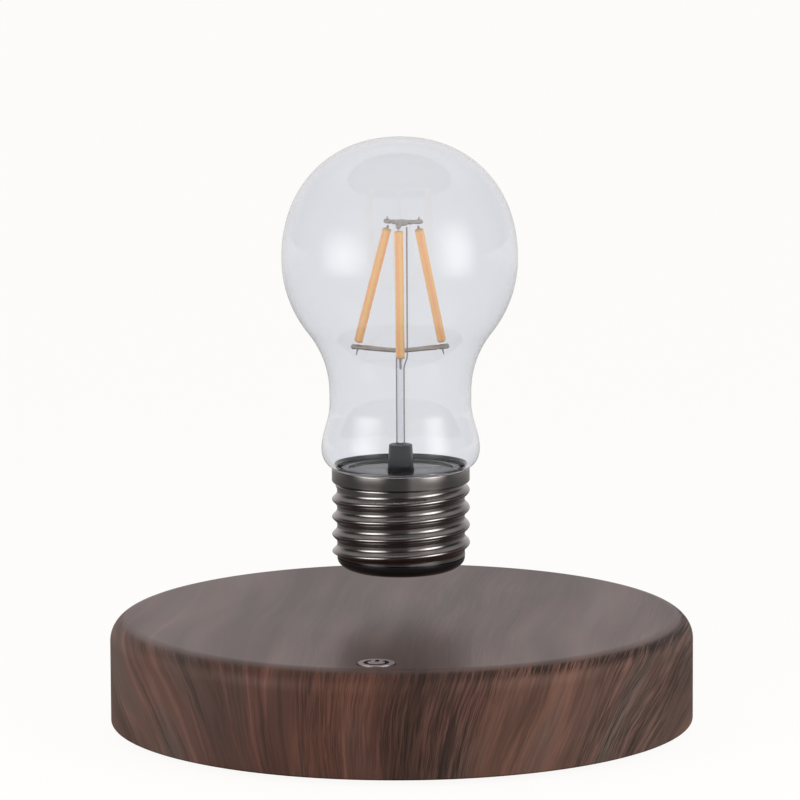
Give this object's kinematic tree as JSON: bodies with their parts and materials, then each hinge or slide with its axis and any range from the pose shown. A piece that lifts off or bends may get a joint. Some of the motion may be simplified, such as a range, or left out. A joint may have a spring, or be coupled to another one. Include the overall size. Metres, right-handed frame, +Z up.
{
  "type": "levitating lamp",
  "caption": "Small table lamp: a clear filament-style bulb floats on a magnetic field over a flat round wood-grain base with a touch key.",
  "frame": {"origin": "middle of the lamp's footprint, on the surface that its feet stand on", "axes": "+Z up along the lamp's axis, -Y towards the touch key at the front, +Y towards the power socket at the back, +X to the right seen from the front"},
  "size_m": [0.15, 0.15, 0.1521],
  "materials": {
    "wood_grain": "wood-grain film, satin",
    "black_plastic": "fine moulded grain",
    "gloss_black": "smooth gloss",
    "rubber": "matt",
    "steel": "zinc plated",
    "circuit_board": "green solder mask",
    "ferrite": "ground ferrite",
    "copper": "enamelled copper wire",
    "nickel": "nickel plate",
    "chip": "moulded epoxy",
    "capacitor_sleeve": "shrink sleeve",
    "lead_red": "soft insulation",
    "lead_black": "soft insulation",
    "key_metal": "fine satin",
    "gunmetal": "dark nickel plate, polished",
    "glass": "clear",
    "phosphor": "phosphor coat",
    "frame_wire": "bare drawn wire"
  },
  "bodies": {
    "base": {"base_shell": "wood_grain", "bottom_cover": "black_plastic", "rubber_foot_1": "rubber", "rubber_foot_2": "rubber", "rubber_foot_3": "rubber", "rubber_foot_4": "rubber", "cover_screw_1": "steel", "cover_screw_2": "steel", "cover_screw_3": "steel", "cover_screw_4": "steel", "main_board": "circuit_board", "board_screw_1": "steel", "board_screw_2": "steel", "board_screw_3": "steel", "control_chip": "chip", "driver_chip": "chip", "smoothing_capacitor": "capacitor_sleeve", "ring_magnet": "ferrite", "coil_bobbin_1": "black_plastic", "coil_bobbin_2": "black_plastic", "coil_bobbin_3": "black_plastic", "coil_bobbin_4": "black_plastic", "coil_winding_1": "copper", "coil_winding_2": "copper", "coil_winding_3": "copper", "coil_winding_4": "copper", "coil_core_1": "steel", "coil_core_2": "steel", "coil_core_3": "steel", "coil_core_4": "steel", "sensor_post": "black_plastic", "sensor_board": "circuit_board", "coil_carrier": "black_plastic", "power_coil": "copper", "touch_key": "key_metal", "touch_board": "circuit_board", "touch_spring": "steel", "touch_lead": "lead_black", "power_socket": "black_plastic", "socket_pin": "nickel", "socket_lead_red": "lead_red", "socket_lead_black": "lead_black"},
    "float": {"float_magnet": "nickel"},
    "bulb": {"nose_cup": "gloss_black", "threaded_shell": "gunmetal", "receiver_coil": "copper", "receiver_board": "circuit_board", "cap_collar": "gunmetal", "cap_insert": "gloss_black", "glass_envelope": "glass", "stem_sleeve": "black_plastic", "glass_stem": "glass", "lower_spider": "frame_wire", "upper_spider": "frame_wire", "filament_1": "phosphor", "filament_2": "phosphor", "filament_3": "phosphor", "lower_lead": "frame_wire", "upper_lead": "frame_wire"}
  },
  "joints": [
    {"name": "bulb_lift", "type": "slide", "parent": "base", "child": "float", "axis": [0, 0, 1], "range_m": [-0.0115, 0.06], "stiffness_N_per_m": 30, "springref_m": 0.0327},
    {"name": "bulb_spin", "type": "hinge", "parent": "float", "child": "bulb", "pos_m": [0, 0, 0.0403], "axis": [0, 0, 1], "continuous": true}
  ]
}
